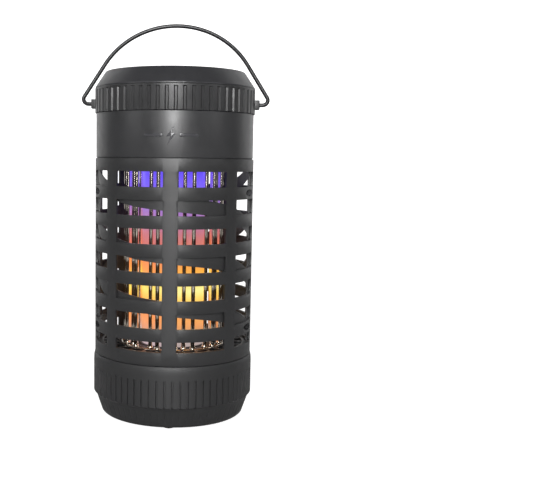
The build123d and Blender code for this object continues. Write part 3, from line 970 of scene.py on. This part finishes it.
# %% Light tube
TUBE_R = radius_of("light_tube")
TUBE_WALL = 1.8
TUBE_BOTTOM = bottom_of("light_tube")
TUBE_TOP = top_of("light_tube")


def light_tube():
    heights = divided([TUBE_BOTTOM + 1, TUBE_TOP - 1], 12.0)
    corners = [(TUBE_R - TUBE_WALL, TUBE_BOTTOM, 0.4), (TUBE_R, TUBE_BOTTOM, 0.4)]
    corners += [(TUBE_R, h) for h in heights]
    corners += [(TUBE_R, TUBE_TOP, 0.4), (TUBE_R - TUBE_WALL, TUBE_TOP, 0.4)]
    return stands_for(turned("light_tube_skin", corners), "light_tube")


tube_skin = light_tube()

# %% [markdown]
# ## Finishes
# Nearly everything outside is ABS, injection moulded in charcoal with a fine spark-eroded texture. ABS has
# an index of refraction near 1.53. The eroded texture spreads reflections, so it looks satin, a little
# uneven in gloss, and it has a grain of a few tenths of a millimetre. That is too fine to resolve here, so
# the grain is drawn at about half a millimetre.

# %% Moulded ABS
def moulded_abs(name, hex_dark, hex_light, roughness, grain=0.5):
    material, tree, shader, where = new_material(name, {"IOR": 1.53, "Metallic": 0.0})
    cloud = add_node(tree, "ShaderNodeTexNoise", {"Scale": per_mm(28), "Detail": 3.0}, {"Vector": where})
    vary(tree, shader, cloud.outputs["Fac"], colours=(hex_dark, hex_light))
    patch = add_node(tree, "ShaderNodeTexNoise", {"Scale": per_mm(7), "Detail": 4.0}, {"Vector": where})
    vary(tree, shader, patch.outputs["Fac"], gloss=(0.3, 0.7, roughness - 0.04, roughness + 0.05))
    eroded = add_node(tree, "ShaderNodeTexNoise", {"Scale": per_mm(grain), "Detail": 2.0}, {"Vector": where})
    vary(tree, shader, eroded.outputs["Fac"], relief=(0.22, 0.06))
    return material


for worn_by, abs_material in (
    ([cage_front_skin, cage_rear_skin, "drop_grille"], moulded_abs("cage_abs", "#232324", "#29292a", 0.42)),
    (["swirl_liner_front", "swirl_liner_rear"], moulded_abs("liner_abs", "#252526", "#2b2b2c", 0.42)),
    ([cup_skin, cup_tabs], moulded_abs("cup_abs", "#212122", "#262627", 0.52)),
    ([head_skin], moulded_abs("band_abs", "#2a2a2b", "#303032", 0.36)),
    # The sign's ABS is glossier than the band, which is real. Its colour is also lighter than the band's, and
    # that lighter tone is a painted highlight for the light the raised sign catches.
    (sign_pieces, moulded_abs("glossy_sign_abs_painted_highlight", "#37373a", "#3e3e41", 0.24)),
    ([grip_ring_skin], moulded_abs("ring_abs", "#282829", "#2e2e2f", 0.36)),
    ([cap_skin], moulded_abs("cap_abs", "#29292b", "#303033", 0.38)),
    ([button_skin, button_mark], moulded_abs("button_abs", "#2c2c2e", "#323234", 0.34)),
):
    for worn in worn_by:
        wear(worn, abs_material)

# %% [markdown]
# The handle is drawn steel wire under a black powder coat: smoother and glossier than the ABS, with the fine
# orange-peel of cured powder, about a millimetre from crest to crest. The screws are blackened steel, with
# turning marks. Rods and spring plates are nickel plated: a warm white metal, bright along the sides and dark
# where it mirrors the dark cage. Inside screws are zinc plated, which is bluer and duller.

# %% Wire and metals
def powder_coat():
    settings = {"Base Color": paint("#161618"), "IOR": 1.45, "Coat Weight": 0.1, "Coat Roughness": 0.2}
    material, tree, shader, where = new_material("powder_coated_wire", settings)
    peel = add_node(tree, "ShaderNodeTexNoise", {"Scale": per_mm(1.1), "Detail": 1.5}, {"Vector": where})
    vary(tree, shader, peel.outputs["Fac"], gloss=(0, 1, 0.27, 0.37), relief=(0.3, 0.05))
    return material


def plated_metal(name, hex_colour, roughness, stretch=(1.0, 1.0, 0.02), mark=0.3):
    """Drawn or turned metal: fine marks, stretched along the piece."""
    material, tree, shader, where = new_material(name, {"Base Color": paint(hex_colour), "Metallic": 1.0})
    drawn = add_node(tree, "ShaderNodeMapping", {"Scale": stretch}, {"Vector": where})
    marks = {"Scale": per_mm(mark), "Detail": 2.0}
    streak = add_node(tree, "ShaderNodeTexNoise", marks, {"Vector": drawn.outputs[0]})
    vary(tree, shader, streak.outputs["Fac"], None, (0, 1, roughness * 0.7, roughness * 1.4), (0.05, 0.01))
    return material


wear(bail_wire, powder_coat())
nickel = plated_metal("nickel_plated_steel", "#d8cfc2", 0.13)
plated = [live_rod_skin, ground_rod_skin, "live_ring", "ground_ring", "battery_contacts", "handle_retainers"]
for worn in plated:
    wear(worn, nickel)
wear("cage_screws", plated_metal("blackened_steel", "#2b2b2c", 0.38, (1.0, 0.05, 1.0)))
zinc = plated_metal("zinc_plated_steel", "#b9bcc2", 0.34, (1.0, 1.0, 1.0), 0.6)
for worn in ("head_screws", "board_screws"):
    wear(worn, zinc)

# %% [markdown]
# Opal polycarbonate scatters the lamps inside so well that the tube seems to glow by itself. From the top the
# glow is violet, then pink, then orange, almost white-yellow where the flame lamps are hottest, orange again,
# and pale at the foot. A colour ramp over height says that. A second ramp holds the hotter side of the flame,
# and stretched noise lets the two flicker into each other, as lamps behind a diffuser do. A camera clips a
# lamp that it sees directly, so the tube throws more light on its surroundings than it shows.

# %% Opal tube
COOL_SIDE = [    # height in millimetres and colour of the glow
    (52, "#b8a2a8"), (57, "#c8b2b8"), (64, "#d9987c"), (72, "#f79a60"), (82, "#fb8a50"), (90, "#fdc050"),
    (96, "#ffe060"), (103, "#fdc84c"), (110, "#fb9450"), (118, "#f4845a"), (128, "#d46c60"), (138, "#c8747e"),
    (148, "#b47cae"), (160, "#9470d0"), (172, "#7a60f0"), (182, "#6c54fa"), (192, "#5a4be0"),
]
HOT_SIDE = [
    (52, "#a0908c"), (57, "#b0a09c"), (64, "#d08a5c"), (72, "#eea050"), (82, "#fba040"), (90, "#ffd860"),
    (96, "#fff49a"), (103, "#ffe060"), (110, "#f9ac3a"), (118, "#f0963c"), (128, "#d07052"), (138, "#c26e78"),
    (148, "#b078a8"), (160, "#906cd0"), (172, "#765cf0"), (182, "#6850fa"), (192, "#5a4be0"),
]
GLOW_THROWN = 1.9    # how much more light the tube throws than a camera, which clips bright lamps, can show


def opal_tube():
    material, tree, shader, where = new_material("opal_polycarbonate", {"IOR": 1.58, "Roughness": 0.35})
    shader.inputs["Base Color"].default_value = paint("#6a6669")
    parts = add_node(tree, "ShaderNodeSeparateXYZ", {}, {"Vector": where})
    low, high = COOL_SIDE[0][0], COOL_SIDE[-1][0]
    length = {"From Min": low * MM, "From Max": high * MM}
    height = add_node(tree, "ShaderNodeMapRange", length, {"Value": parts.outputs["Z"]})
    flames = add_node(tree, "ShaderNodeMapping", {"Scale": (1.0, 1.0, 0.35)}, {"Vector": where})
    tongues = {"Scale": per_mm(16), "Detail": 2.0}
    flicker = add_node(tree, "ShaderNodeTexNoise", tongues, {"Vector": flames.outputs[0]})
    width = {"From Min": -12 * MM, "From Max": 12 * MM, "To Min": -0.25, "To Max": 0.75}
    side = add_node(tree, "ShaderNodeMapRange", width, {"Value": parts.outputs["X"]})
    share = add_node(tree, "ShaderNodeMath", {"operation": "ADD", "use_clamp": True})
    tree.links.new(side.outputs["Result"], share.inputs[0])
    tree.links.new(flicker.outputs["Fac"], share.inputs[1])
    blend = add_node(tree, "ShaderNodeMix", {"data_type": "RGBA"}, {0: share.outputs[0]})
    for stops, socket in ((COOL_SIDE, 6), (HOT_SIDE, 7)):
        ramp = add_node(tree, "ShaderNodeValToRGB", {}, {"Fac": height.outputs["Result"]})
        elements = ramp.color_ramp.elements
        for z, hex_colour in stops[1:-1]:
            elements.new((z - low) / (high - low)).color = paint(hex_colour)
        elements[0].color, elements[-1].color = paint(stops[0][1]), paint(stops[-1][1])
        tree.links.new(ramp.outputs["Color"], blend.inputs[socket])
    tree.links.new(blend.outputs[2], shader.inputs["Emission Color"])
    path = add_node(tree, "ShaderNodeLightPath")
    strength = {"To Min": GLOW_THROWN, "To Max": 1.0}
    level = add_node(tree, "ShaderNodeMapRange", strength, {"Value": path.outputs["Is Camera Ray"]})
    tree.links.new(level.outputs["Result"], shader.inputs["Emission Strength"])
    return material


wear(tube_skin, opal_tube())

# %% [markdown]
# The holders are glass-filled nylon: matt, nearly black, with short fibres that show as a faint fleck. Rubber
# pads and gaskets are darker and duller still. Both are the same idea with other numbers.

# %% Nylon and rubber
def flecked_polymer(name, hex_base, hex_fleck, roughness, fleck, ior):
    material, tree, shader, where = new_material(name, {"IOR": ior, "Roughness": roughness})
    cells = add_node(tree, "ShaderNodeTexVoronoi", {"Scale": per_mm(fleck)}, {"Vector": where})
    fade = {"From Min": 0.0, "From Max": 0.6, "To Min": 0.6, "To Max": 0.0}
    share = add_node(tree, "ShaderNodeMapRange", fade, {"Value": cells.outputs["Distance"]})
    vary(tree, shader, share.outputs["Result"], colours=(hex_base, hex_fleck))
    vary(tree, shader, cells.outputs["Distance"], relief=(0.15, 0.05))
    return material


nylon = flecked_polymer("glass_filled_nylon", "#18181a", "#242427", 0.55, 0.9, 1.53)
for worn in (
    "upper_grid_holder", "lower_grid_holder", "head_floor", "switch_plunger", "tact_switch",
    "battery_holder", "control_chips",
):
    wear(worn, nylon)
rubber = flecked_polymer("moulded_rubber", "#1b1b1c", "#222223", 0.72, 0.6, 1.52)
for worn in (feet_skin, "cup_seal", "panel_seal"):
    wear(worn, rubber)

# %% [markdown]
# The head hides the electronics. They show only when the part is taken apart, but each still gets its own
# finish: green solder mask over copper tracks, white mask on the lamp core, clear resin on the lamps, shrink
# sleeve on the cells, yellow tape on the transformer, a brown dip coat on the capacitors, and red silicone
# on the leads.

# %% Electronics
def solder_mask(name, hex_mask, hex_track, pitch):
    """Tracks under a mask: a brick pattern, as wide as its pitch in millimetres."""
    material, tree, shader, where = new_material(name, {"IOR": 1.55, "Roughness": 0.35})
    tracks = add_node(
        tree,
        "ShaderNodeTexBrick",
        {"Scale": per_mm(pitch), "Mortar Size": 0.06, "Color1": paint(hex_mask), "Color2": paint(hex_mask),
         "Mortar": paint(hex_track)},
        {"Vector": where},
    )
    tree.links.new(tracks.outputs["Color"], shader.inputs["Base Color"])
    vary(tree, shader, tracks.outputs["Fac"], relief=(0.3, 0.04))
    return material


def coated(name, hex_dark, hex_light, roughness, feature, ior=1.5, glow=0.0):
    """A sleeve, tape, dip coat or resin: soft bands of tone over a smooth skin."""
    settings = {"IOR": ior, "Roughness": roughness, "Emission Strength": glow}
    material, tree, shader, where = new_material(name, settings)
    bands = {"Scale": per_mm(feature) / (2 * pi), "Distortion": 1.5, "Detail": 2.0}
    wave = add_node(tree, "ShaderNodeTexWave", bands, {"Vector": where})
    vary(tree, shader, wave.outputs["Fac"], colours=(hex_dark, hex_light), relief=(0.1, 0.05))
    if glow:
        tone = shader.inputs["Base Color"].links[0].from_socket
        tree.links.new(tone, shader.inputs["Emission Color"])
    return material


board = solder_mask("green_solder_mask", "#0d4a2a", "#2c7a45", 2.5)
for worn in ("control_board", "switch_board", "uv_led_board"):
    wear(worn, board)
wear("light_core", solder_mask("white_solder_mask", "#e9e6dc", "#cfc9b8", 3.0))
wear("flame_leds", coated("amber_lamp_resin", "#ffb347", "#ffd27a", 0.15, 2.0, 1.5, 1.5))
wear("uv_leds", coated("violet_lamp_resin", "#7a68f5", "#a79bff", 0.12, 2.0, 1.5, 1.5))
wear("battery_cells", coated("pvc_shrink_sleeve", "#12507f", "#176196", 0.3, 9.0))
wear("hv_transformer", coated("polyester_tape", "#c59a1e", "#d8ad2c", 0.35, 3.0))
wear("hv_capacitors", coated("epoxy_dip_coat", "#7a3f14", "#8d4c1c", 0.28, 4.0))
lead_sheath = coated("silicone_sheath", "#7d1410", "#8f1a15", 0.5, 1.5)
for worn in ("grid_leads", "panel_leads", "core_leads"):
    wear(worn, lead_sheath)

# %% [markdown]
# The panel in the cap is monocrystalline silicon under clear resin: blue-black cells 15 mm across, hairline
# silver fingers every 1.5 mm, and a glossy coat over all of it.

# %% Solar panel
def solar_cells():
    settings = {"IOR": 1.5, "Roughness": 0.3, "Coat Weight": 1.0, "Coat Roughness": 0.04}
    material, tree, shader, where = new_material("resin_coated_silicon", settings)
    grid = {"Color1": paint("#0b1330"), "Color2": paint("#0e1838"), "Mortar": paint("#8b93a3"), "offset": 0.0}
    cells = add_node(
        tree,
        "ShaderNodeTexBrick",
        {**grid, "Scale": per_mm(15), "Mortar Size": 0.022, "Brick Width": 1.0, "Row Height": 1.0},
        {"Vector": where},
    )
    fingers = add_node(
        tree,
        "ShaderNodeTexBrick",
        {**grid, "Scale": per_mm(1.5), "Mortar Size": 0.04, "Brick Width": 40.0, "Row Height": 1.0,
         "Mortar": paint("#2c3550")},
        {"Vector": where},
    )
    both = add_node(tree, "ShaderNodeMix", {"data_type": "RGBA", "blend_type": "LIGHTEN", 0: 1.0})
    tree.links.new(cells.outputs["Color"], both.inputs[6])
    tree.links.new(fingers.outputs["Color"], both.inputs[7])
    tree.links.new(both.outputs[2], shader.inputs["Base Color"])
    return material


wear("solar_panel", solar_cells())

# %% [markdown]
# ## Last steps
# The box of what shows now should still be the CAD model's box.

# %% Compare sizes and finish
look_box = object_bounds()
for corner, was, now in zip(("low", "high"), cad_box, look_box):
    print(corner, "moved by", [round((b - a) / MM, 2) for a, b in zip(was, now)], "mm")
